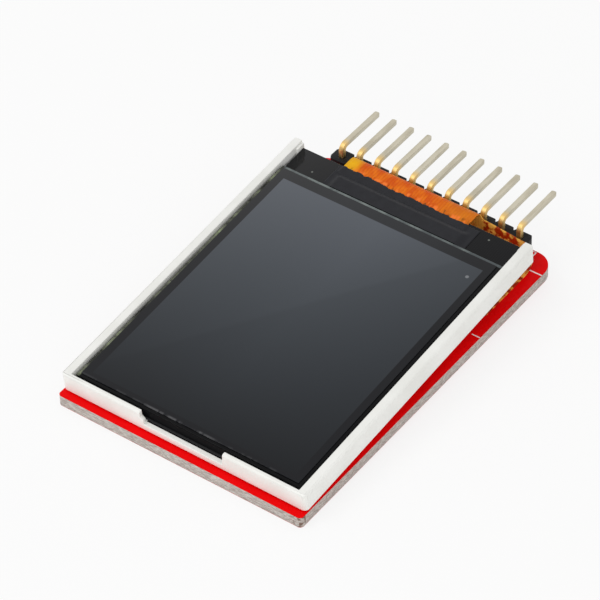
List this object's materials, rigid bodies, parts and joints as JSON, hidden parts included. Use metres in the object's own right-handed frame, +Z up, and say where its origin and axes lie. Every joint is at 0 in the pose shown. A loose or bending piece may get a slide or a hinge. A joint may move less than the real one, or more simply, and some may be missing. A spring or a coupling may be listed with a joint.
{
  "type": "tft display module",
  "caption": "Small colour display module: a lit liquid-crystal panel taped at a slight slope over a red circuit board, with a looped flex and one row of bent header pins.",
  "frame": {"origin": "centre of the circuit board's underside", "axes": "+X across the board, +Y along it towards the pins, +Z up through the panel"},
  "size_m": [0.034, 0.0565, 0.009],
  "materials": {
    "board": "glossy red solder mask over glass-fibre board",
    "header_plastic": "moulded",
    "pin_metal": "thinly plated, satin",
    "solder": "bright",
    "foam": "matt foam",
    "frame_plastic": "moulded, satin",
    "film": "smooth",
    "light_guide": "clear, polished",
    "glass": "polished",
    "polarizer": "polished",
    "chip": "polished",
    "black_tape": "matt",
    "flex": "satin",
    "led": "moulded",
    "part_body": "moulded",
    "capacitor": "fired ceramic",
    "resistor": "glazed"
  },
  "bodies": {
    "root": {"circuit_board": "board", "header_body": "header_plastic", "header_pin_1": "pin_metal", "header_pin_2": "pin_metal", "header_pin_3": "pin_metal", "header_pin_4": "pin_metal", "header_pin_5": "pin_metal", "header_pin_6": "pin_metal", "header_pin_7": "pin_metal", "header_pin_8": "pin_metal", "header_pin_9": "pin_metal", "header_pin_10": "pin_metal", "header_pin_11": "pin_metal", "header_solder_1": "solder", "header_solder_2": "solder", "header_solder_3": "solder", "header_solder_4": "solder", "header_solder_5": "solder", "header_solder_6": "solder", "header_solder_7": "solder", "header_solder_8": "solder", "header_solder_9": "solder", "header_solder_10": "solder", "header_solder_11": "solder", "foam_tape_left": "foam", "foam_tape_right": "foam", "panel_frame": "frame_plastic", "reflector_film": "film", "light_guide": "light_guide", "backlight_led_1": "led", "backlight_led_2": "led", "backlight_led_3": "led", "led_strip": "flex", "diffuser_film": "film", "prism_film_lower": "film", "prism_film_upper": "film", "rim_tape": "black_tape", "rear_polarizer": "polarizer", "tft_glass": "glass", "filter_glass": "glass", "front_polarizer": "polarizer", "driver_chip": "chip", "cover_tape": "black_tape", "display_flex": "flex", "flex_solder": "solder", "regulator": "part_body", "backlight_transistor": "part_body", "capacitor_1": "capacitor", "capacitor_2": "capacitor", "capacitor_3": "capacitor", "resistor_1": "resistor", "resistor_2": "resistor", "resistor_3": "resistor"}
  },
  "joints": []
}
